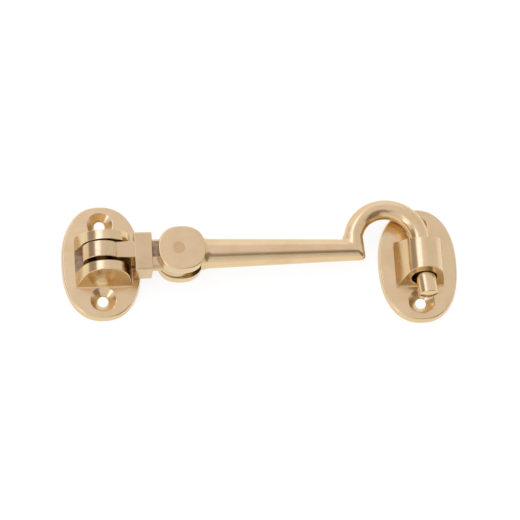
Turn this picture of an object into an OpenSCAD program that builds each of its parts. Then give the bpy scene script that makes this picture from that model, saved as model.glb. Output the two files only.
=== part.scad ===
// Cabin hook and eye latch: a hook on a two-way swivel, and an eye that it drops into.
// Frame: X runs along the arm, Y along the plates, Z away from the wall.
// The origin is the centre of the base plate, on its back face.

/* [Plates] */
// Width of both oval plates
plate_w = 25.4; // [24:0.1:30]
// Length of both oval plates
plate_l = 38.1; // [37:0.1:46]
// Thickness of both oval plates
plate_t = 2.6; // [2.4:0.1:3.2]
// Fullness of the oval: 2 is an ellipse, more is squarer
plate_fullness = 2.3; // [2:0.05:2.8]
// How far the cast rim leans in from the back face to the front face
plate_draft = 0.3; // [0.1:0.05:0.6]
// Rounding of the plate's front edge
plate_edge_r = 0.4; // [0.2:0.05:0.6]

/* [Screw holes] */
// Distance between the two screws of a plate
screw_spacing = 25.4; // [24.6:0.1:27]
// Clearance hole for the screw
screw_d = 3.6; // [3.2:0.1:4]
// Width of the countersink at the front face
countersink_d = 8.2; // [7:0.1:8.4]

/* [Swivel axis] */
// Height of the hinge pin, the arm and the eye hole above the wall
axis_z = 7.4; // [7.2:0.05:8]

/* [Ears] */
// Height of the ears above the wall
ear_h = 13.9; // [13.7:0.1:15]
// Width of the ears at the plate
ear_foot_w = 17; // [16:0.1:18]
// Width that the ears' leaning sides come in to at the crown
ear_crown_w = 14; // [13:0.1:15.4]
// Length of the pair of ears at the plate
ear_foot_l = 16.8; // [16:0.1:17.2]
// Length of the pair of ears at their crown
ear_crown_l = 13.2; // [12.6:0.1:15]
// Fullness of the ears' round top: 2 is an ellipse, more is squarer
ear_fullness = 3; // [2.6:0.1:4]
// Slot between the ears
slot_w = 7.2; // [6.6:0.1:7.6]
// Diameter of the hinge pin
hinge_pin_d = 4; // [3:0.1:4.6]

/* [Link] */
// Thickness of the tongue between the ears
tongue_t = 5; // [4:0.1:5.4]
// How far the tongue lies off the arm's line, towards the upper ear
tongue_shift = 0.5; // [0:0.05:0.7]
// Radius of the tongue's round end
tongue_r = 6.2; // [5.4:0.05:6.3]
// Distance from the hinge pin to the square block
block_x = 10; // [9.8:0.1:10.2]
// Length of the square block along the arm
block_l = 5.6; // [4.5:0.1:5.8]
// Width of the square block
block_w = 12.8; // [10.8:0.1:13.4]
// Depth of the square block away from the wall
block_h = 9; // [7:0.1:9.2]
// Rounding of the block's four long edges
block_edge_r = 0.8; // [0.3:0.1:1.2]
// Width of the neck behind the leaf
neck_w = 10.4; // [8:0.1:10.6]
// Thickness of the leaf inside the fork
leaf_t = 4.3; // [3.4:0.1:4.8]
// Radius of the leaf's round end
leaf_r = 6.9; // [6:0.05:7]

/* [Hook] */
// Distance from the hinge pin to the rivet
rivet_x = 23.8; // [23.6:0.1:26]
// Diameter of the rivet
rivet_d = 3.6; // [2.6:0.1:4.2]
// Radius of the fork's round cheeks
cheek_r = 7.4; // [7.3:0.05:7.8]
// Thickness of each cheek
cheek_t = 4; // [3:0.1:4.2]
// How far the cheeks sit forward of the rivet
cheek_shift = 1; // [0.6:0.05:1.2]
// Diameter of the arm at the fork
arm_root_d = 9.6; // [8:0.1:9.8]
// Diameter of the arm at the heel
arm_heel_d = 6.6; // [6.3:0.1:7.2]
// How far the heel reaches past the crook's leg
heel_reach = 3.6; // [3.4:0.1:4.6]
// Bevel on the end of the heel
heel_bevel = 0.7; // [0.3:0.1:1]
// Diameter of the crook
crook_d = 6.1; // [5.4:0.1:6.2]
// Radius of the crook along its centre line
crook_r = 11.2; // [10.4:0.1:12]
// Height of the crook's centre above the arm
crook_y = 2.2; // [1.8:0.1:3.2]
// Distance from the arm down to the end of the tip
tip_drop = 16.4; // [13:0.1:18]
// Diameter at the end of the tip
tip_d = 5.8; // [4.6:0.1:6]
// Bevel on the end of the tip
tip_bevel = 0.6; // [0.2:0.1:0.8]

/* [Eye] */
// Distance between the centres of the two plates
plate_centres = 101.6; // [96:0.1:130]
// How far the eye plate sits below the line of the arm
eye_drop = 3.6; // [3:0.1:4.4]
// Height of the eye above the wall
eye_h = 14.1; // [13.4:0.1:15]
// Width of the eye at the plate
eye_foot_w = 15.4; // [14.4:0.1:17]
// Width that the eye's leaning sides come in to at the crown
eye_crown_w = 11.4; // [10.8:0.1:13]
// Length of the eye at the plate
eye_foot_l = 14.8; // [12.4:0.1:16.4]
// Length of the eye at its crown
eye_crown_l = 10; // [9:0.1:12]
// Fullness of the eye's round top: 2 is an ellipse, more is squarer
eye_fullness = 3.8; // [3:0.1:4.4]
// Hole that the tip drops into
eye_hole_d = 9.1; // [8.9:0.1:9.3]
// How far the tip rests to the far side of the hole
tip_shift = 1.2; // [0:0.05:1.2]

/* [Fits] */
// Gap on each side between pieces that slide past each other
side_gap = 0.3; // [0.2:0.05:0.5]
// Gap round a pin where a piece turns on it
turning_gap = 0.06; // [0.03:0.01:0.1]
// Gap round a pin where it is driven in
driven_gap = 0.02; // [0.01:0.01:0.03]

/* [Hidden] */
$fn = 64;
// Cutters run this far past the faces that they cut
past = 1;
brass = "#d8b184";
pin_brass = "#c9a06e";

// Points round the oval, steps over its rounded front edge, and points over an arch
oval_steps = 96;
edge_steps = 4;
arch_steps = 60;
sliver = 0.01;

// The screw's countersink is a right-angled cone
countersink_depth = (countersink_d - screw_d) / 2;

// The swivel, stacked from the axis outwards
fork_slot = leaf_t + 2 * side_gap;
fork_h = fork_slot + 2 * cheek_t;
throat_x = rivet_x + leaf_r + side_gap;
cheek_x = rivet_x + cheek_shift;
block_end = block_x + block_l;

// The crook, set out from the eye that it drops into
tip_x = plate_centres + tip_shift;
crook_x = tip_x - crook_r;
leg_x = crook_x - crook_r;
heel_x = leg_x + heel_reach;

// A power of the cosine or sine that keeps its sign, for full ovals and arches
function bulge(v, fullness) = sign(v) * pow(abs(v), 2 / fullness);

// Outline of a cast block seen along Y: a full arch whose sides lean in towards the crown
function arch_outline(foot_w, crown_w, rise, fullness) =
    [for (i = [0:arch_steps])
        let (a = 180 * i / arch_steps, up = bulge(sin(a), fullness))
        [(foot_w + (crown_w - foot_w) * up) / 2 * bulge(cos(a), fullness), rise * up]];

// Thin oval slice of the plate, drawn in from its outline by an inset
module oval_slice(inset, z) {
    half = [plate_w / 2 - inset, plate_l / 2 - inset];
    points = [for (i = [0:oval_steps - 1]) let (a = 360 * i / oval_steps)
        [half.x * bulge(cos(a), plate_fullness), half.y * bulge(sin(a), plate_fullness)]];
    translate([0, 0, z]) linear_extrude(sliver) polygon(points);
}

// Oval plate lying on Z = 0, with a leaning rim and a rounded front edge
module oval_plate() {
    hull() {
        oval_slice(0, 0);
        for (i = [0:edge_steps]) let (a = 90 * i / edge_steps)
            oval_slice(plate_draft + plate_edge_r * (1 - cos(a)),
                plate_t - sliver - plate_edge_r * (1 - sin(a)));
    }
}

// Cast block on the plate: a full arch with leaning sides, and leaning ends
module arched_block(h, foot_w, crown_w, foot_l, crown_l, fullness) {
    intersection() {
        translate([0, 0, plate_t]) rotate([90, 0, 0]) linear_extrude(foot_l, center = true)
            polygon(arch_outline(foot_w, crown_w, h - plate_t, fullness));
        block_ends(h, foot_w, foot_l, crown_l);
    }
}

// The leaning ends alone, as a bar along X
module block_ends(h, foot_w, foot_l, crown_l) {
    rise = h - plate_t;
    translate([0, 0, plate_t]) rotate([90, 0, 90]) linear_extrude(foot_w, center = true)
        polygon([[-foot_l / 2, 0], [foot_l / 2, 0], [crown_l / 2, rise], [-crown_l / 2, rise]]);
}

// Screw holes with countersinks, and room above them for the screw heads
module screw_cuts(room) {
    for (s = [-1, 1]) translate([0, s * screw_spacing / 2, 0]) {
        translate([0, 0, -past]) cylinder(h = plate_t + 2 * past, d = screw_d);
        translate([0, 0, plate_t - countersink_depth])
            cylinder(h = countersink_depth, d1 = screw_d, d2 = countersink_d);
        translate([0, 0, plate_t]) cylinder(h = room, d = countersink_d);
    }
}

// Round bar along Y through the swivel axis
module bar_along_y(length, d) {
    translate([0, 0, axis_z]) rotate([90, 0, 0]) cylinder(h = length, d = d, center = true);
}

module base_plate() color(brass) difference() {
    union() {
        oval_plate();
        arched_block(ear_h, ear_foot_w, ear_crown_w, ear_foot_l, ear_crown_l, ear_fullness);
    }
    translate([-ear_foot_w / 2 - past, -slot_w / 2, plate_t])
        cube([ear_foot_w + 2 * past, slot_w, ear_h]);
    bar_along_y(slot_w, 2 * (tongue_r + side_gap));
    bar_along_y(ear_foot_l + 2 * past, hinge_pin_d + 2 * driven_gap);
    screw_cuts(ear_h);
}

// The pin is driven through both ears and filed flush with their leaning ends
module hinge_pin() color(pin_brass) intersection() {
    bar_along_y(ear_foot_l, hinge_pin_d);
    block_ends(ear_h, ear_foot_w, ear_foot_l, ear_crown_l);
}

// Square block with its four long edges rounded
module link_block() {
    flat_w = block_w - 2 * block_edge_r;
    flat_h = block_h - 2 * block_edge_r;
    translate([block_x, 0, axis_z]) rotate([90, 0, 90]) linear_extrude(block_l) {
        square([block_w, flat_h], center = true);
        square([flat_w, block_h], center = true);
        for (sx = [-1, 1], sy = [-1, 1])
            translate([sx * flat_w / 2, sy * flat_h / 2]) circle(block_edge_r);
    }
}

module swivel_link() color(brass) difference() {
    union() {
        translate([0, tongue_shift, 0]) {
            bar_along_y(tongue_t, 2 * tongue_r);
            translate([0, -tongue_t / 2, axis_z - block_h / 2]) cube([block_end, tongue_t, block_h]);
        }
        link_block();
        translate([0, 0, axis_z]) {
            translate([block_x, -neck_w / 2, -leaf_t / 2]) cube([rivet_x - block_x, neck_w, leaf_t]);
            translate([rivet_x, 0, 0]) cylinder(h = leaf_t, r = leaf_r, center = true);
        }
    }
    bar_along_y(slot_w, hinge_pin_d + 2 * turning_gap);
    translate([rivet_x, 0, axis_z])
        cylinder(h = leaf_t + 2 * past, d = rivet_d + 2 * turning_gap, center = true);
}

// The rivet holds the cheeks together and is filed flush with both of them
module fork_rivet() color(pin_brass)
    translate([rivet_x, 0, axis_z]) cylinder(h = fork_h, d = rivet_d, center = true);

// Slotted round boss at the root of the arm
module fork() {
    slot_start = cheek_x - cheek_r - past;
    difference() {
        translate([cheek_x, 0, 0]) cylinder(h = fork_h, r = cheek_r, center = true);
        translate([slot_start, -cheek_r - past, -fork_slot / 2])
            cube([throat_x - slot_start, 2 * (cheek_r + past), fork_slot]);
        translate([rivet_x, 0, 0])
            cylinder(h = fork_h + 2 * past, d = rivet_d + 2 * driven_gap, center = true);
    }
}

// Tapered round arm, with a bevelled end at the heel
module arm() {
    translate([throat_x, 0, 0]) rotate([0, 90, 0]) {
        cylinder(h = heel_x - heel_bevel - throat_x, d1 = arm_root_d, d2 = arm_heel_d);
        translate([0, 0, heel_x - heel_bevel - throat_x])
            cylinder(h = heel_bevel, d1 = arm_heel_d, d2 = arm_heel_d - 2 * heel_bevel);
    }
}

// Leg, half turn and tip
module crook() {
    tip_l = crook_y + tip_drop - tip_bevel;
    translate([crook_x, crook_y, 0]) {
        translate([-crook_r, 0, 0]) rotate([90, 0, 0]) cylinder(h = crook_y, d = crook_d);
        rotate_extrude(angle = 180) translate([crook_r, 0]) circle(d = crook_d);
        translate([crook_r, 0, 0]) rotate([90, 0, 0]) {
            cylinder(h = tip_l, d1 = crook_d, d2 = tip_d);
            translate([0, 0, tip_l]) cylinder(h = tip_bevel, d1 = tip_d, d2 = tip_d - 2 * tip_bevel);
        }
    }
}

module hook() color(brass) translate([0, 0, axis_z]) {
    fork();
    arm();
    crook();
}

module eye_plate() color(brass) translate([plate_centres, -eye_drop, 0]) difference() {
    union() {
        oval_plate();
        arched_block(eye_h, eye_foot_w, eye_crown_w, eye_foot_l, eye_crown_l, eye_fullness);
    }
    bar_along_y(eye_foot_l + 2 * past, eye_hole_d);
    screw_cuts(eye_h);
}

base_plate();
hinge_pin();
swivel_link();
fork_rivet();
hook();
eye_plate();
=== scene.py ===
import math
import bmesh
import bpy
from mathutils import Matrix, Vector


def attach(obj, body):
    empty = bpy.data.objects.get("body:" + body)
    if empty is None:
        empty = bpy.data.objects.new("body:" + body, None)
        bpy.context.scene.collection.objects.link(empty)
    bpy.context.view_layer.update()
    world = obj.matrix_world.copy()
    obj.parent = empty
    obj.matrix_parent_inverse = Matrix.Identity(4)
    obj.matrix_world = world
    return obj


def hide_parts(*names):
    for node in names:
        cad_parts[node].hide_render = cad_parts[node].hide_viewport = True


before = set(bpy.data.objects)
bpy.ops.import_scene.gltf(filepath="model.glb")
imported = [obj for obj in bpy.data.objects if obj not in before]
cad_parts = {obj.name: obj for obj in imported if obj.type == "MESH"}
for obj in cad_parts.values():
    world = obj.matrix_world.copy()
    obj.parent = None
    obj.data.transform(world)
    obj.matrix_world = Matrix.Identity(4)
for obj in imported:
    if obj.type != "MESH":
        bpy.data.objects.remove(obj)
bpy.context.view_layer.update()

# Base plate
# One brass casting: an oval plate with two countersunk screw holes and a pair of round-topped ears.
# It is linished along the hook and buffed bright, except the floor of the slot, which keeps its cast skin.
mm = 0.001
plate_half_w = 12.7 * mm
plate_half_l = 19.05 * mm
plate_t = 2.6 * mm
plate_fullness = 2.3
plate_draft = 0.3 * mm
plate_edge_r = 0.4 * mm
plate_crown = 0.25 * mm
plate_steps = 144
screw_reach = 12.7 * mm
screw_r = 1.75 * mm
countersink_r = 4.1 * mm
countersink_rim = 0.15 * mm
drill_rise = 0.1 * mm
axis_z = 7.4 * mm
ear_h = 14.1 * mm
ear_foot_w = 17.9 * mm
ear_foot_x = 0.45 * mm
ear_r = 7.6 * mm
ear_x = 0.9 * mm
ear_foot_l = 16.8 * mm
ear_crown_l = 13.2 * mm
ear_rim = 0.25 * mm
foot_fillet = 0.45 * mm
fillet_inset = 0.05 * mm
slot_half_w = 3.6 * mm
slot_rim = 0.25 * mm
slot_floor_facing = 0.2
recess_r = 6.5 * mm
pin_bore_r = 2.02 * mm
# How near counts as touching, how near points are merged, and how far a cutter runs past the metal
near = 0.01 * mm
weld = near / 10
past = 1 * mm
# How finely curves are drawn, and the angle past which an edge stays crisp
round_steps = 96
quarter_turn = range(0, 91, 15)
crisp_angle = math.radians(35)


def take(piece):
    """Makes a piece the only one selected, because an operator acts on all that is."""
    bpy.ops.object.select_all(action="DESELECT")
    piece.select_set(True)
    bpy.context.view_layer.objects.active = piece


def copy_of(piece, name):
    """A second piece of the same form, with its own mesh."""
    take(piece)
    bpy.ops.object.duplicate(linked=False)
    second = bpy.context.object
    second.name = name
    return second


def face_outwards(piece):
    """Points every face of a closed piece outwards, and makes sure of it by the sign of its volume."""
    bpy.ops.mesh.select_all(action="SELECT")
    bpy.ops.mesh.normals_make_consistent(inside=False)
    if bmesh.from_edit_mesh(piece.data).calc_volume(signed=True) < 0:
        bpy.ops.mesh.flip_normals()


def combine(piece, other, operation):
    """Cuts a second mesh out of a piece or joins it on, and removes the second mesh."""
    take(piece)
    step = piece.modifiers.new("combine", "BOOLEAN")
    step.operation = operation
    step.solver = "EXACT"
    step.object = other
    bpy.ops.object.modifier_apply(modifier=step.name)
    bpy.data.objects.remove(other)


def rod(centre, radius, length, turn=(0, 0, 0)):
    """A round bar along Z, turned and put in its place, to cut with or to shape further."""
    bpy.ops.mesh.primitive_cylinder_add(
        vertices=round_steps, radius=radius, depth=length, location=centre, rotation=turn)
    bpy.ops.object.transform_apply(location=True, rotation=True, scale=True)
    return bpy.context.object


def bar(low, high):
    """A square bar between two corners, to cut with or to shape further."""
    low, high = Vector(low), Vector(high)
    bpy.ops.mesh.primitive_cube_add(size=1, location=(low + high) / 2)
    bpy.ops.transform.resize(value=high - low)
    bpy.ops.object.transform_apply(location=True, rotation=True, scale=True)
    return bpy.context.object


def soften(piece, test, width, segments=3):
    """Rounds the edges of a piece that pass a test."""
    take(piece)
    bpy.ops.object.mode_set(mode="EDIT")
    bpy.ops.mesh.select_mode(type="EDGE")
    bpy.ops.mesh.select_all(action="DESELECT")
    mesh = bmesh.from_edit_mesh(piece.data)
    for edge in mesh.edges:
        if test(edge):
            edge.select_set(True)
    mesh.select_flush_mode()
    bmesh.update_edit_mesh(piece.data)
    bpy.ops.mesh.bevel(offset=width, segments=segments, profile=0.5, clamp_overlap=True)
    bpy.ops.object.mode_set(mode="OBJECT")


def is_sharp(edge):
    """True where two faces meet at more than a gentle angle."""
    return len(edge.link_faces) == 2 and edge.calc_face_angle(0) > crisp_angle


def bulge(value, fullness):
    """A power of a cosine or sine that keeps its sign: 2 gives an ellipse, more a squarer oval."""
    return math.copysign(abs(value) ** (2 / fullness), value)


def oval_plate():
    """The oval plate, drawn ring by ring: a leaning rim, a rounded edge and a slightly crowned face."""
    rim_z = plate_t - plate_crown
    rings = []
    for turn in quarter_turn:
        inset = plate_draft + plate_edge_r * (1 - math.cos(math.radians(turn)))
        z = rim_z - plate_edge_r * (1 - math.sin(math.radians(turn)))
        rings.append(Vector((plate_half_w - inset, plate_half_l - inset, z)))
    rim = rings[-1]
    for share in (0.92, 0.84, 0.76, 0.68, 0.6, 0.5, 0.4, 0.25, 0.1):
        rings.append(Vector((share * rim.x, share * rim.y, plate_t - plate_crown * share ** 2)))
    bpy.ops.object.select_all(action="DESELECT")
    bpy.ops.mesh.primitive_circle_add(vertices=plate_steps, radius=plate_half_w, fill_type="NGON")
    plate = bpy.context.object
    for i, vertex in enumerate(plate.data.vertices):
        angle = 2 * math.pi * i / plate_steps
        vertex.co.x = plate_half_w * bulge(math.cos(angle), plate_fullness)
        vertex.co.y = plate_half_l * bulge(math.sin(angle), plate_fullness)
    bpy.ops.object.mode_set(mode="EDIT")
    bpy.ops.mesh.select_all(action="SELECT")
    at = Vector((plate_half_w, plate_half_l, 0))
    for to in rings:
        bpy.ops.mesh.extrude_region_move(TRANSFORM_OT_translate={"value": (0, 0, to.z - at.z)})
        bpy.ops.transform.resize(value=(to.x / at.x, to.y / at.y, 1), center_override=(0, 0, to.z))
        at = to
    face_outwards(plate)
    bpy.ops.object.mode_set(mode="OBJECT")
    return plate


def cast(outline, push):
    """A solid of even depth: an outline drawn from a circle's vertices and pushed through."""
    bpy.ops.object.select_all(action="DESELECT")
    bpy.ops.mesh.primitive_circle_add(vertices=len(outline), radius=plate_half_w, fill_type="NGON")
    piece = bpy.context.object
    for vertex, place in zip(piece.data.vertices, outline):
        vertex.co = place
    bpy.ops.object.mode_set(mode="EDIT")
    bpy.ops.mesh.select_all(action="SELECT")
    bpy.ops.mesh.extrude_region_move(TRANSFORM_OT_translate={"value": push})
    face_outwards(piece)
    bpy.ops.object.mode_set(mode="OBJECT")
    return piece


def lean_ends(piece, height, foot_l, crown_l):
    """Files both ends of a piece to planes that lean in from the plate to the crown."""
    take(piece)
    bpy.ops.object.mode_set(mode="EDIT")
    for side in (-1, 1):
        facing = Vector((0, side * (height - plate_t), (foot_l - crown_l) / 2)).normalized()
        bpy.ops.mesh.select_all(action="SELECT")
        bpy.ops.mesh.bisect(plane_co=(0, side * foot_l / 2, plate_t), plane_no=facing,
                            use_fill=True, clear_outer=True, threshold=weld)
    face_outwards(piece)
    bpy.ops.object.mode_set(mode="OBJECT")


def fill_foot(block, foot_w, foot_x, foot_l):
    """Joins a hollow cast fillet along the front and the back foot of a block."""
    half_w = foot_w / 2 - fillet_inset
    root_z = plate_t - past / 2
    inside = foot_l / 2 - past
    # The crowned face has fallen a little where the foot stands
    foot_share = plate_half_w / 2 / plate_half_l
    face_z = plate_t - plate_crown * foot_share ** 2
    for side in (-1, 1):
        profile = [(inside, root_z), (foot_l / 2 + foot_fillet, root_z)]
        for turn in quarter_turn:
            angle = math.radians(turn)
            profile.append((foot_l / 2 + foot_fillet * (1 - math.sin(angle)),
                            face_z + foot_fillet * (1 - math.cos(angle))))
        profile.append((inside, face_z + foot_fillet))
        outline = [(foot_x - half_w, side * y, z) for y, z in profile]
        combine(block, cast(outline, (2 * half_w, 0, 0)), "UNION")


def arched_block(height, foot_w, foot_x, crown_r, crown_x, foot_l, crown_l, rim):
    """A cast block on the plate: a round crown on flat leaning sides, with leaning ends and eased rims."""
    left = foot_x - foot_w / 2
    right = foot_x + foot_w / 2
    root_z = plate_t - past
    crown_z = height - crown_r
    end_y = -foot_l / 2 - past
    # Each flat side runs up from the foot to the angle where it touches the crown
    touch = []
    for side in (-1, 1):
        out = foot_w / 2 - side * (crown_x - foot_x)
        down = crown_z - plate_t
        touch.append(math.acos(crown_r / math.hypot(out, down)) - math.atan2(down, out))
    outline = [(left, end_y, plate_t), (left, end_y, root_z),
               (right, end_y, root_z), (right, end_y, plate_t)]
    for i in range(round_steps + 1):
        angle = touch[1] + (math.pi - touch[0] - touch[1]) * i / round_steps
        outline.append((crown_x + crown_r * math.cos(angle), end_y, crown_z + crown_r * math.sin(angle)))
    block = cast(outline, (0, -2 * end_y, 0))
    lean_ends(block, height, foot_l, crown_l)
    lean = (foot_l - crown_l) / 2 / (height - plate_t)

    def on_end(vertex):
        """True on the leaning ends, above the root that goes into the plate."""
        gap = abs(vertex.co.y) - foot_l / 2 + lean * (vertex.co.z - plate_t)
        return abs(gap) < near and vertex.co.z > root_z + near

    soften(block, lambda e: is_sharp(e) and all(on_end(v) for v in e.verts), rim)
    fill_foot(block, foot_w, foot_x, foot_l)
    return block


def turned(outline):
    """A turned solid: its outline is drawn point by point from the axis out and back, then spun about Z."""
    bpy.ops.object.select_all(action="DESELECT")
    bpy.ops.mesh.primitive_plane_add(size=mm, location=outline[0])
    piece = bpy.context.object
    bpy.ops.object.transform_apply(location=True, rotation=True, scale=True)
    bpy.ops.object.mode_set(mode="EDIT")
    bpy.ops.mesh.select_mode(type="VERT")
    bpy.ops.mesh.select_all(action="SELECT")
    bpy.ops.mesh.merge(type="CENTER")
    for at, to in zip(outline, outline[1:]):
        bpy.ops.mesh.extrude_region_move(TRANSFORM_OT_translate={"value": Vector(to) - Vector(at)})
    bpy.ops.mesh.select_all(action="SELECT")
    bpy.ops.mesh.spin(steps=round_steps, angle=2 * math.pi, center=outline[0], axis=(0, 0, 1))
    bpy.ops.mesh.select_all(action="SELECT")
    bpy.ops.mesh.remove_doubles(threshold=weld)
    face_outwards(piece)
    bpy.ops.object.mode_set(mode="OBJECT")
    return piece


def cut_screw_holes(plate):
    """Drills both screw holes, countersinks them and flares each rim where the burr is taken off."""
    face_z = plate_t - plate_crown * (screw_reach / plate_half_l) ** 2
    flare = countersink_rim / 2
    steps = [(0, -past), (screw_r, -past), (screw_r, face_z - countersink_r + screw_r),
             (countersink_r - flare, face_z - flare), (countersink_r + flare, face_z),
             (countersink_r + 2 * flare, face_z + drill_rise), (0, face_z + drill_rise)]
    drill = turned([(r, -screw_reach, z) for r, z in steps])
    second = copy_of(drill, "second drill")
    bpy.ops.transform.translate(value=(0, 2 * screw_reach, 0))
    bpy.ops.object.transform_apply(location=True, rotation=True, scale=True)
    combine(plate, drill, "DIFFERENCE")
    combine(plate, second, "DIFFERENCE")


def finish_mesh(piece, finish):
    """Shades a piece smooth up to its crisp edges and gives it its finish."""
    take(piece)
    bpy.ops.object.shade_smooth_by_angle(angle=crisp_angle)
    step = piece.modifiers.new("even shading", "WEIGHTED_NORMAL")
    step.keep_sharp = True
    bpy.ops.object.modifier_apply(modifier=step.name)
    for material in finish:
        piece.data.materials.append(material)


def linear(code):
    """The linear colour of an sRGB hex value."""
    parts = [int(code[i:i + 2], 16) / 255 for i in (1, 3, 5)]
    return [p / 12.92 if p <= 0.04045 else ((p + 0.055) / 1.055) ** 2.4 for p in parts] + [1]


def add_node(tree, kind, settings, inputs):
    """Adds a node with its settings, and fills each of its sockets with a value or a link."""
    node = tree.nodes.new(kind)
    for name, value in settings.items():
        setattr(node, name, value)
    for name, value in inputs.items():
        if isinstance(value, bpy.types.NodeSocket):
            tree.links.new(value, node.inputs[name])
        else:
            node.inputs[name].default_value = value
    return node


def brass_finish(name, bright, dull, roughness, patch, line_gap, line_depth, ripple_depth):
    """Brass that is bright in one colour and duller in another, with working lines along X."""
    line_length = 30 * mm
    ripple_width = 6 * mm
    finish = bpy.data.materials.new(name)
    finish.use_nodes = True
    tree = finish.node_tree
    shader = tree.nodes["Principled BSDF"]
    place = add_node(tree, "ShaderNodeTexCoord", {}, {}).outputs["Object"]
    # Handling dulls the polish in patches; sockets 6 and 7 of the mix are its two colours
    patches = add_node(tree, "ShaderNodeTexNoise", {}, {
        "Vector": place, "Scale": 1 / patch, "Detail": 3, "Roughness": 0.55}).outputs["Fac"]
    dulling = add_node(tree, "ShaderNodeMapRange", {}, {
        "Value": patches, "From Min": 0.42, "From Max": 0.72, "To Max": 0.6}).outputs["Result"]
    colour = add_node(tree, "ShaderNodeMix", {"data_type": "RGBA"}, {
        0: dulling, 6: linear(bright), 7: linear(dull)}).outputs[2]
    # The lines of the belt are finer than a pixel, so they are drawn coarser
    along = add_node(tree, "ShaderNodeMapping", {"vector_type": "POINT"}, {
        "Vector": place, "Scale": (1 / line_length, 1 / line_gap, 1 / line_gap)}).outputs["Vector"]
    lines = add_node(tree, "ShaderNodeTexNoise", {}, {
        "Vector": along, "Scale": 1, "Detail": 2, "Roughness": 0.6}).outputs["Fac"]
    # The buffing wheel leaves a faint ripple under the lines
    ripple = add_node(tree, "ShaderNodeTexNoise", {}, {
        "Vector": place, "Scale": 1 / ripple_width, "Detail": 1}).outputs["Fac"]
    buffed = add_node(tree, "ShaderNodeBump", {}, {
        "Height": ripple, "Strength": 1, "Distance": ripple_depth}).outputs["Normal"]
    lined = add_node(tree, "ShaderNodeBump", {}, {
        "Height": lines, "Strength": 1, "Distance": line_depth, "Normal": buffed}).outputs["Normal"]
    gloss = add_node(tree, "ShaderNodeMapRange", {}, {
        "Value": lines, "From Min": 0.3, "From Max": 0.7,
        "To Min": roughness * 0.8, "To Max": roughness * 1.3}).outputs["Result"]
    shader.inputs["Metallic"].default_value = 1
    tree.links.new(colour, shader.inputs["Base Color"])
    tree.links.new(gloss, shader.inputs["Roughness"])
    tree.links.new(lined, shader.inputs["Normal"])
    return finish


# Polished cast brass: pale gold with a soft mirror shine, faint belt lines and duller patches from handling
polished_brass = brass_finish(
    "polished cast brass", bright="#E3C89A", dull="#D8B886", roughness=0.2,
    patch=7 * mm, line_gap=0.5 * mm, line_depth=0.0012 * mm, ripple_depth=0.012 * mm)
# As-cast brass skin: grey-brown and matt, because no wheel reaches into the slot. On the top of the neck it
# is partly real skin and partly painted shade under the fork's cheeks.
cast_skin_and_painted_shade = brass_finish(
    "as-cast brass skin and painted shade", bright="#B29A7C", dull="#55432F", roughness=0.5,
    patch=1.6 * mm, line_gap=0.6 * mm, line_depth=0.03 * mm, ripple_depth=0.05 * mm)


def on_slot(vertex):
    """True on the walls of the slot between the ears, above the plate's face."""
    return abs(abs(vertex.co.y) - slot_half_w) < near and vertex.co.z > plate_t + near


plate_blank = oval_plate()
base_plate = copy_of(plate_blank, "base_plate_casting")
# The face is scored along both feet of the ears, so that the floor of the slot has faces of its own
bpy.ops.object.mode_set(mode="EDIT")
for side in (-1, 1):
    foot_line = (ear_foot_x + side * ear_foot_w / 2, 0, 0)
    bpy.ops.mesh.select_all(action="SELECT")
    bpy.ops.mesh.bisect(plane_co=foot_line, plane_no=(1, 0, 0), threshold=weld)
bpy.ops.object.mode_set(mode="OBJECT")
ears = arched_block(ear_h, ear_foot_w, ear_foot_x, ear_r, ear_x, ear_foot_l, ear_crown_l, ear_rim)
slot_floor = plate_t - past / 2
ear_slot = bar((-ear_foot_w, -slot_half_w, slot_floor), (ear_foot_w, slot_half_w, ear_h + past))
combine(ears, ear_slot, "DIFFERENCE")
soften(ears, lambda e: is_sharp(e) and all(on_slot(v) for v in e.verts), slot_rim)
along_y = (math.pi / 2, 0, 0)
combine(base_plate, ears, "UNION")
combine(base_plate, rod((0, 0, axis_z), recess_r, 2 * (slot_half_w - near), along_y), "DIFFERENCE")
combine(base_plate, rod((0, 0, axis_z), pin_bore_r, ear_foot_l + 2 * past, along_y), "DIFFERENCE")
cut_screw_holes(base_plate)
finish_mesh(base_plate, [polished_brass, cast_skin_and_painted_shade])
for face in base_plate.data.polygons:
    in_slot = abs(face.center.y) < slot_half_w and abs(face.center.x - ear_foot_x) < ear_foot_w / 2
    if in_slot and face.normal.z > slot_floor_facing and face.center.z < plate_t + near:
        face.material_index = 1
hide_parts("base_plate")
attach(base_plate, "base")

# Hinge pin
# A short length of drawn brass rod, driven through both ears and the tongue between them.
# Its ends are filed flush with the ears' leaning ends, so only a faint ring shows.
pin_r = 2 * mm
pin_rim = 0.06 * mm
pin_painted_shade_facing = 0.1
# Drawn brass rod: a shade deeper than the castings, with fine lines from the die
pin_brass = brass_finish(
    "drawn brass rod", bright="#D9BA88", dull="#C8A56F", roughness=0.22,
    patch=7 * mm, line_gap=0.3 * mm, line_depth=0.001 * mm, ripple_depth=0.005 * mm)
# Painted shade: dark brown brass on the pin's round side, which shows only in the narrow gaps between the
# ears and the tongue
pin_gap_painted_shade = brass_finish(
    "painted shade of the pin's gaps", bright="#7A6040", dull="#3C2C1A", roughness=0.45,
    patch=1.2 * mm, line_gap=0.3 * mm, line_depth=0.005 * mm, ripple_depth=0.01 * mm)

hinge_pin = rod((0, 0, axis_z), pin_r, ear_foot_l, along_y)
hinge_pin.name = "hinge_pin_rod"
lean_ends(hinge_pin, ear_h, ear_foot_l, ear_crown_l)
soften(hinge_pin, is_sharp, pin_rim, segments=2)
finish_mesh(hinge_pin, [pin_brass, pin_gap_painted_shade])
# The round side of the pin, seen only in the gaps, gets the painted shade
for face in hinge_pin.data.polygons:
    if abs(face.normal.y) < pin_painted_shade_facing:
        face.material_index = 1
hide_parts("hinge_pin")
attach(hinge_pin, "base")

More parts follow.
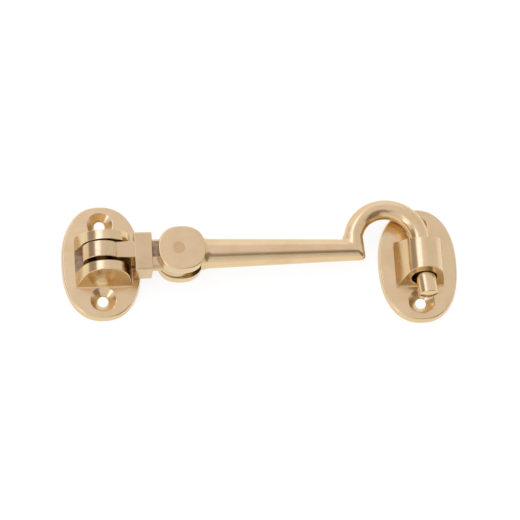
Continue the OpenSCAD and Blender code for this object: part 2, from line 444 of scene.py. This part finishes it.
# Swivel link
# One brass casting: a round tongue that turns on the hinge pin, a square block, a neck and a round leaf
# that turns on the rivet inside the hook's fork. Its edges are eased by the polishing wheel.
tongue_r = 6.2 * mm
tongue_low_y = -2 * mm
tongue_high_y = 3.35 * mm
tongue_rim = 0.3 * mm
shank_half_h = 4.4 * mm
block_x = 10 * mm
block_end = 15.6 * mm
block_half_w = 6.4 * mm
block_half_h = 4.5 * mm
block_edge_r = 0.8 * mm
block_rim = 0.25 * mm
neck_half_w = 5.2 * mm
neck_half_t = 2.1 * mm
neck_fullness = 2.5
neck_steps = 72
# Where across the neck the skin with painted shade begins, and how far up its faces must point
neck_skin_and_shade_y = -1.4 * mm
neck_skin_and_shade_facing = 0.9
leaf_half_t = 2.15 * mm
leaf_r = 6.9 * mm
leaf_rim = 0.3 * mm
rivet_x = 23.8 * mm
rivet_r = 1.8 * mm
turning_gap = 0.06 * mm
# Polished cast brass a shade deeper than the plates
link_brass = brass_finish(
    "deeper polished cast brass", bright="#DABF92", dull="#CCAE80", roughness=0.2,
    patch=7 * mm, line_gap=0.5 * mm, line_depth=0.0012 * mm, ripple_depth=0.012 * mm)


def on_tongue_rim(edge):
    """True along the rims of the tongue's two flat sides."""
    first, second = edge.verts
    return abs(first.co.y - second.co.y) < near and min(first.co.x, second.co.x) < block_x


reach = block_x + past
outline = [(reach, tongue_low_y, axis_z - shank_half_h), (reach, tongue_low_y, axis_z + shank_half_h)]
side_angle = math.asin(shank_half_h / tongue_r)
for i in range(round_steps + 1):
    angle = side_angle + i / round_steps * (2 * math.pi - 2 * side_angle)
    outline.append((tongue_r * math.cos(angle), tongue_low_y, axis_z + tongue_r * math.sin(angle)))
swivel_link = cast(outline, (0, tongue_high_y - tongue_low_y, 0))
swivel_link.name = "swivel_link_casting"
soften(swivel_link, lambda e: is_sharp(e) and on_tongue_rim(e), tongue_rim)
block = bar((block_x, -block_half_w, axis_z - block_half_h),
            (block_end, block_half_w, axis_z + block_half_h))
soften(block, lambda e: abs(e.verts[0].co.x - e.verts[1].co.x) > past, block_edge_r, segments=4)
soften(block, is_sharp, block_rim)
combine(swivel_link, block, "UNION")
outline = []
for i in range(neck_steps):
    angle = 2 * math.pi * i / neck_steps
    outline.append((block_end - past, neck_half_w * bulge(math.cos(angle), neck_fullness),
                    axis_z + neck_half_t * bulge(math.sin(angle), neck_fullness)))
combine(swivel_link, cast(outline, (rivet_x - rivet_r - block_end, 0, 0)), "UNION")
leaf = rod((rivet_x, 0, axis_z), leaf_r, 2 * leaf_half_t)
soften(leaf, is_sharp, leaf_rim)
combine(swivel_link, leaf, "UNION")
combine(swivel_link, rod((0, 0, axis_z), pin_r + turning_gap, 2 * slot_half_w, along_y), "DIFFERENCE")
combine(swivel_link, rod((rivet_x, 0, axis_z), rivet_r + turning_gap, 4 * leaf_half_t), "DIFFERENCE")
finish_mesh(swivel_link, [link_brass, cast_skin_and_painted_shade])
# The top of the neck under the fork gets the as-cast skin: partly real skin, partly painted shade
for face in swivel_link.data.polygons:
    on_neck = face.center.x > block_end and face.center.y > neck_skin_and_shade_y
    if on_neck and face.normal.z > neck_skin_and_shade_facing:
        face.material_index = 1
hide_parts("swivel_link")
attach(swivel_link, "link")

# Hook
# One brass casting: a forked head, a tapered round arm, and a round crook whose tip drops into the eye.
# It is one bar from the head to the tip, belt polished along the arm, with the fork's slot cut in its head.
cheek_x = 24.85 * mm
cheek_half_w = 7.45 * mm
cheek_half_l = 7.3 * mm
cheek_fullness = 2.35
cheek_rim = 0.45 * mm
cheek_steps = 120
fork_half_h = 6.45 * mm
fork_slot_half = 2.45 * mm
throat_x = 31 * mm
arm_root_r = 4.8 * mm
elbow_x = 80.5 * mm
elbow_r = 3.4 * mm
elbow_round = 1.2 * mm
crook_x = 91.1 * mm
crook_y = 2.7 * mm
crook_r = 10.7 * mm
crook_lean = math.radians(11)
crook_steps = 60
leg_r = 3.05 * mm
bend_r = 3.22 * mm
tip_r = 3.1 * mm
tip_round = 0.4 * mm
tip_dome = 0.7 * mm
tip_length = 19.4 * mm
tip_lean = math.radians(4.5)
driven_gap = 0.02 * mm
# How far along from the throat each ring of the arm is, and how much fuller the shoulder makes it, in mm
arm_rings = ((0, 0.4), (1, 0.36), (1.6, 0.22), (2.1, 0.09), (2.7, 0.02), (3.4, 0),
             (8, 0), (16, 0), (24, 0), (32, 0), (40, 0), (44, 0))


def draw_on(at, to, scale):
    """Draws the end of a bar on from one place to the next, and scales it there."""
    bpy.ops.mesh.extrude_region_move(TRANSFORM_OT_translate={"value": to - at})
    bpy.ops.transform.resize(value=scale, center_override=to)


bpy.ops.object.select_all(action="DESELECT")
bpy.ops.mesh.primitive_circle_add(vertices=round_steps, radius=arm_root_r, fill_type="NGON",
                                  location=(cheek_x, 0, axis_z), rotation=(0, math.pi / 2, 0))
hook = bpy.context.object
hook.name = "hook_casting"
bpy.ops.object.transform_apply(location=True, rotation=True, scale=True)
bpy.ops.object.mode_set(mode="EDIT")
bpy.ops.mesh.select_all(action="SELECT")
at, width = Vector((cheek_x, 0, axis_z)), arm_root_r
# The arm leaves the head in a soft shoulder and tapers to the elbow
for along, shoulder in arm_rings:
    to = Vector((throat_x + along * mm, 0, axis_z))
    radius = arm_root_r + (elbow_r - arm_root_r) * along * mm / (elbow_x - throat_x) + shoulder * mm
    draw_on(at, to, (radius / width,) * 3)
    at, width = to, radius
# At the elbow its end is mitred, and the mitre is carried round a small curve
to = Vector((elbow_x - elbow_round, 0, axis_z))
draw_on(at, to, (elbow_r / width,) * 3)
bpy.ops.transform.rotate(value=-math.pi / 4, orient_axis="Z", center_override=to)
bpy.ops.transform.resize(value=(math.sqrt(2), math.sqrt(2), 1), center_override=to)
at = to
for turn in quarter_turn[1:]:
    angle = math.radians(turn)
    to = Vector((elbow_x - elbow_round * (1 - math.sin(angle)),
                 elbow_round * (1 - math.cos(angle)), axis_z))
    bpy.ops.mesh.extrude_region_move(TRANSFORM_OT_translate={"value": to - at})
    at = to
# The end is pressed flat across the leg, a little turned, and the crook goes on round nearly half a circle
centre = Vector((crook_x, crook_y, axis_z))
sweep = math.pi - crook_lean - tip_lean
to = centre + crook_r * Vector((-math.cos(crook_lean), math.sin(crook_lean), 0))
draw_on(at, to, (leg_r / elbow_r, 0, leg_r / elbow_r))
bpy.ops.transform.rotate(value=crook_lean, orient_axis="Z", center_override=to)
width = leg_r
for i in range(1, crook_steps + 1):
    angle = crook_lean + sweep * i / crook_steps
    bpy.ops.mesh.extrude_region_move()
    bpy.ops.transform.rotate(value=sweep / crook_steps, orient_axis="Z", center_override=centre)
    at = centre + crook_r * Vector((-math.cos(angle), math.sin(angle), 0))
    radius = leg_r + (bend_r - leg_r) * i / crook_steps
    bpy.ops.transform.resize(value=(radius / width,) * 3, center_override=at)
    width = radius
# The tip runs straight on to a rounded rim and a slightly domed end
tip_rings = []
for share in (0.3, 0.6, 0.85, 1):
    tip_rings.append((share * (tip_length - tip_round), bend_r + (tip_r - bend_r) * share))
for turn in (21, 42, 63):
    angle = math.radians(turn)
    tip_rings.append((tip_length - tip_round + tip_round * math.sin(angle),
                      tip_r - tip_round * (1 - math.cos(angle))))
rim_length, rim_radius = tip_rings[-1]
for share in (0.8, 0.6, 0.4, 0.2):
    tip_rings.append((rim_length + tip_dome * (1 - share ** 2), rim_radius * share))
tip_way = Vector((math.sin(tip_lean), -math.cos(tip_lean), 0))
reached = 0
for length, radius in tip_rings:
    to = at + (length - reached) * tip_way
    draw_on(at, to, (radius / width,) * 3)
    at, reached, width = to, length, radius
face_outwards(hook)
bpy.ops.object.mode_set(mode="OBJECT")

outline = []
for i in range(cheek_steps):
    angle = 2 * math.pi * i / cheek_steps
    outline.append((cheek_x + cheek_half_w * bulge(math.cos(angle), cheek_fullness),
                    cheek_half_l * bulge(math.sin(angle), cheek_fullness), axis_z - fork_half_h))
head = cast(outline, (0, 0, 2 * fork_half_h))
soften(head, is_sharp, cheek_rim)
combine(hook, head, "UNION")
fork_slot = bar((cheek_x - cheek_half_w - past, -cheek_half_l - past, axis_z - fork_slot_half),
                (throat_x, cheek_half_l + past, axis_z + fork_slot_half))
combine(hook, fork_slot, "DIFFERENCE")
combine(hook, rod((rivet_x, 0, axis_z), rivet_r + driven_gap, 4 * fork_half_h), "DIFFERENCE")
finish_mesh(hook, [polished_brass])
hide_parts("hook")
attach(hook, "hook")

# Fork rivet
# A brass rod through both cheeks of the fork and the leaf between them, closed over and filed flush.
# Its ends show as slightly darker rounds on the cheeks.
rivet_rim = 0.08 * mm

fork_rivet = rod((rivet_x, 0, axis_z), rivet_r, 2 * fork_half_h)
fork_rivet.name = "fork_rivet_rod"
soften(fork_rivet, is_sharp, rivet_rim, segments=2)
finish_mesh(fork_rivet, [pin_brass])
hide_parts("fork_rivet")
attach(fork_rivet, "hook")

# Eye plate
# One brass casting on the same oval plate, with an arched eye bored along the plate for the hook's tip.
# It is polished like the base plate, and the rims of the bore are eased.
eye_centre = Vector((101.6 * mm, -3.6 * mm, 0))
eye_h = 14.1 * mm
eye_foot_w = 15.4 * mm
eye_foot_x = 0
eye_r = 6 * mm
eye_x = 0.85 * mm
eye_foot_l = 14.8 * mm
eye_crown_l = 10 * mm
eye_rim = 0.35 * mm
eye_hole_r = 4.05 * mm
eye_hole = Vector((0.7 * mm, 0, 7.3 * mm))
eye_hole_rim = 0.25 * mm
bore_slack = 0.05 * mm


def on_bore(vertex):
    """True on the rims of the bore through the eye."""
    out = math.hypot(vertex.co.x - eye_hole.x, vertex.co.z - eye_hole.z)
    return abs(out - eye_hole_r) < bore_slack


eye_plate = copy_of(plate_blank, "eye_plate_casting")
bpy.data.objects.remove(plate_blank)
eye = arched_block(eye_h, eye_foot_w, eye_foot_x, eye_r, eye_x, eye_foot_l, eye_crown_l, eye_rim)
combine(eye_plate, eye, "UNION")
combine(eye_plate, rod(eye_hole, eye_hole_r, eye_foot_l + 2 * past, along_y), "DIFFERENCE")
cut_screw_holes(eye_plate)
soften(eye_plate, lambda e: is_sharp(e) and all(on_bore(v) for v in e.verts), eye_hole_rim)
take(eye_plate)
bpy.ops.transform.translate(value=eye_centre)
bpy.ops.object.transform_apply(location=True, rotation=True, scale=True)
finish_mesh(eye_plate, [polished_brass])
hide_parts("eye_plate")
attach(eye_plate, "eye")

# Stage
# A white table, an even pale room, and soft panels with grey and white cards that the polish mirrors.
# The cards stand outside the picture and only their reflections show.
table_radius = 4
table_glow = 0.8
panel_away = 1.6
card_steps = 12
card_roughness = 0.9
# What a panel of one square metre needs for a face of brightness one
panel_watts = 4
middle = Vector((eye_centre.x / 2, 0, axis_z))

bpy.ops.object.select_all(action="DESELECT")
bpy.ops.mesh.primitive_circle_add(vertices=round_steps, radius=table_radius, fill_type="NGON")
table = bpy.context.object
table.name = "table"
# White paper, lit from behind: the eye and the polish see it white with a faint shadow,
# and it sends light back to the brass as plain paper does
white = bpy.data.materials.new("white table")
white.use_nodes = True
tree = white.node_tree
tree.nodes.remove(tree.nodes["Principled BSDF"])
ray = add_node(tree, "ShaderNodeLightPath", {}, {}).outputs
seen = add_node(tree, "ShaderNodeMath", {"operation": "MAXIMUM"}, {
    0: ray["Is Camera Ray"], 1: ray["Is Glossy Ray"]}).outputs[0]
glow = add_node(tree, "ShaderNodeEmission", {}, {
    "Color": linear("#FFFFFF"), "Strength": table_glow}).outputs[0]
faint = add_node(tree, "ShaderNodeBsdfDiffuse", {}, {"Color": linear("#898B83")}).outputs[0]
paper = add_node(tree, "ShaderNodeBsdfDiffuse", {}, {"Color": linear("#ECF0E2")}).outputs[0]
bright = add_node(tree, "ShaderNodeAddShader", {}, {0: glow, 1: faint}).outputs[0]
shown = add_node(tree, "ShaderNodeMixShader", {}, {0: seen, 1: paper, 2: bright}).outputs[0]
tree.links.new(shown, tree.nodes["Material Output"].inputs["Surface"])
table.data.materials.append(white)

room = bpy.data.worlds.new("pale room")
bpy.context.scene.world = room
room.use_nodes = True
room.node_tree.nodes["Background"].inputs["Color"].default_value = linear("#F3EFFF")
room.node_tree.nodes["Background"].inputs["Strength"].default_value = 1


def towards(azimuth, elevation):
    """The direction from the hook towards a place in the studio, in degrees."""
    a, e = math.radians(azimuth), math.radians(elevation)
    return Vector((math.cos(e) * math.cos(a), math.cos(e) * math.sin(a), math.sin(e)))


def panel(name, azimuth, elevation, width, height, brightness, colour):
    """A soft panel that faces the hook; its power gives its face the brightness asked."""
    lamp = bpy.data.lights.new(name, "AREA")
    lamp.color = linear(colour)[:3]
    lamp.shape = "RECTANGLE"
    lamp.size = width
    lamp.size_y = height
    lamp.energy = panel_watts * width * height * brightness
    holder = bpy.data.objects.new(name, lamp)
    bpy.context.scene.collection.objects.link(holder)
    facing = towards(azimuth, elevation)
    holder.location = middle + panel_away * facing
    holder.rotation_euler = facing.to_track_quat("Z", "Y").to_euler()


def card(name, azimuths, elevations, away, colour):
    """A card of one colour between two azimuths and two elevations, which only the polish sees."""
    bpy.ops.object.select_all(action="DESELECT")
    bpy.ops.mesh.primitive_grid_add(x_subdivisions=card_steps, y_subdivisions=card_steps, size=1)
    flag = bpy.context.object
    flag.name = name
    for vertex in flag.data.vertices:
        across, up = vertex.co.x + 0.5, vertex.co.y + 0.5
        azimuth = azimuths[0] + across * (azimuths[1] - azimuths[0])
        elevation = elevations[0] + up * (elevations[1] - elevations[0])
        vertex.co = middle + away * towards(azimuth, elevation)
    matt = bpy.data.materials.new(name)
    matt.use_nodes = True
    shader = matt.node_tree.nodes["Principled BSDF"]
    shader.inputs["Base Color"].default_value = linear(colour)
    shader.inputs["Roughness"].default_value = card_roughness
    flag.data.materials.append(matt)
    flag.visible_camera = False
    flag.visible_diffuse = False
    flag.visible_shadow = False


panel("left panel", azimuth=130, elevation=54, width=1.1, height=0.62, brightness=1.15, colour="#C0D6FF")
panel("front left panel", azimuth=-150, elevation=42, width=0.6, height=1.2, brightness=0.7,
      colour="#D4E2FF")
panel("low left panel", azimuth=-146, elevation=18, width=0.36, height=0.4, brightness=1.8,
      colour="#E0EAFF")
panel("back panel", azimuth=100, elevation=20, width=2.2, height=1.3, brightness=0.24, colour="#D0E0FF")
card("left card", azimuths=(146, 182), elevations=(1, 38), away=1.4, colour="#B0A49A")
card("front card", azimuths=(-86, -18), elevations=(44, 65), away=0.5, colour="#9C928A")
card("front right card", azimuths=(-62, -18), elevations=(0, 70), away=1.5, colour="#8E847C")
card("low front card", azimuths=(-100, -62), elevations=(22, 46), away=1.5, colour="#ECECEC")
card("right card", azimuths=(-12, 58), elevations=(0, 65), away=1.5, colour="#F8F8F8")

# Camera
# It stands a metre off, above the hook and a little to its left and front, with a long lens.
# Its distance and its shift across the picture are in mm, because the picture's scale is in pixels per mm.
picture = 520
pixels_per_mm = 3.146
film_width = 36
camera_distance = 1000
camera_shift_x = -0.6
camera_shift_y = -2.43
camera_roll = math.radians(3.97)
camera_pitch = math.radians(-20.19)
camera_yaw = math.radians(7.12)

tilt = Matrix.Rotation(camera_roll, 3, "Z")
tilt = tilt @ Matrix.Rotation(camera_pitch, 3, "X")
tilt = tilt @ Matrix.Rotation(camera_yaw, 3, "Y")
camera = bpy.data.objects.new("camera", bpy.data.cameras.new("camera"))
bpy.context.scene.collection.objects.link(camera)
stand = Vector((camera_shift_x, camera_shift_y, camera_distance))
camera.location = middle + tilt.transposed() @ stand * mm
camera.rotation_euler = tilt.transposed().to_euler()
camera.data.sensor_width = film_width
camera.data.lens = pixels_per_mm * camera_distance / picture * film_width
camera.data.clip_end = 20
bpy.context.scene.camera = camera
bpy.context.scene.view_settings.view_transform = "Standard"
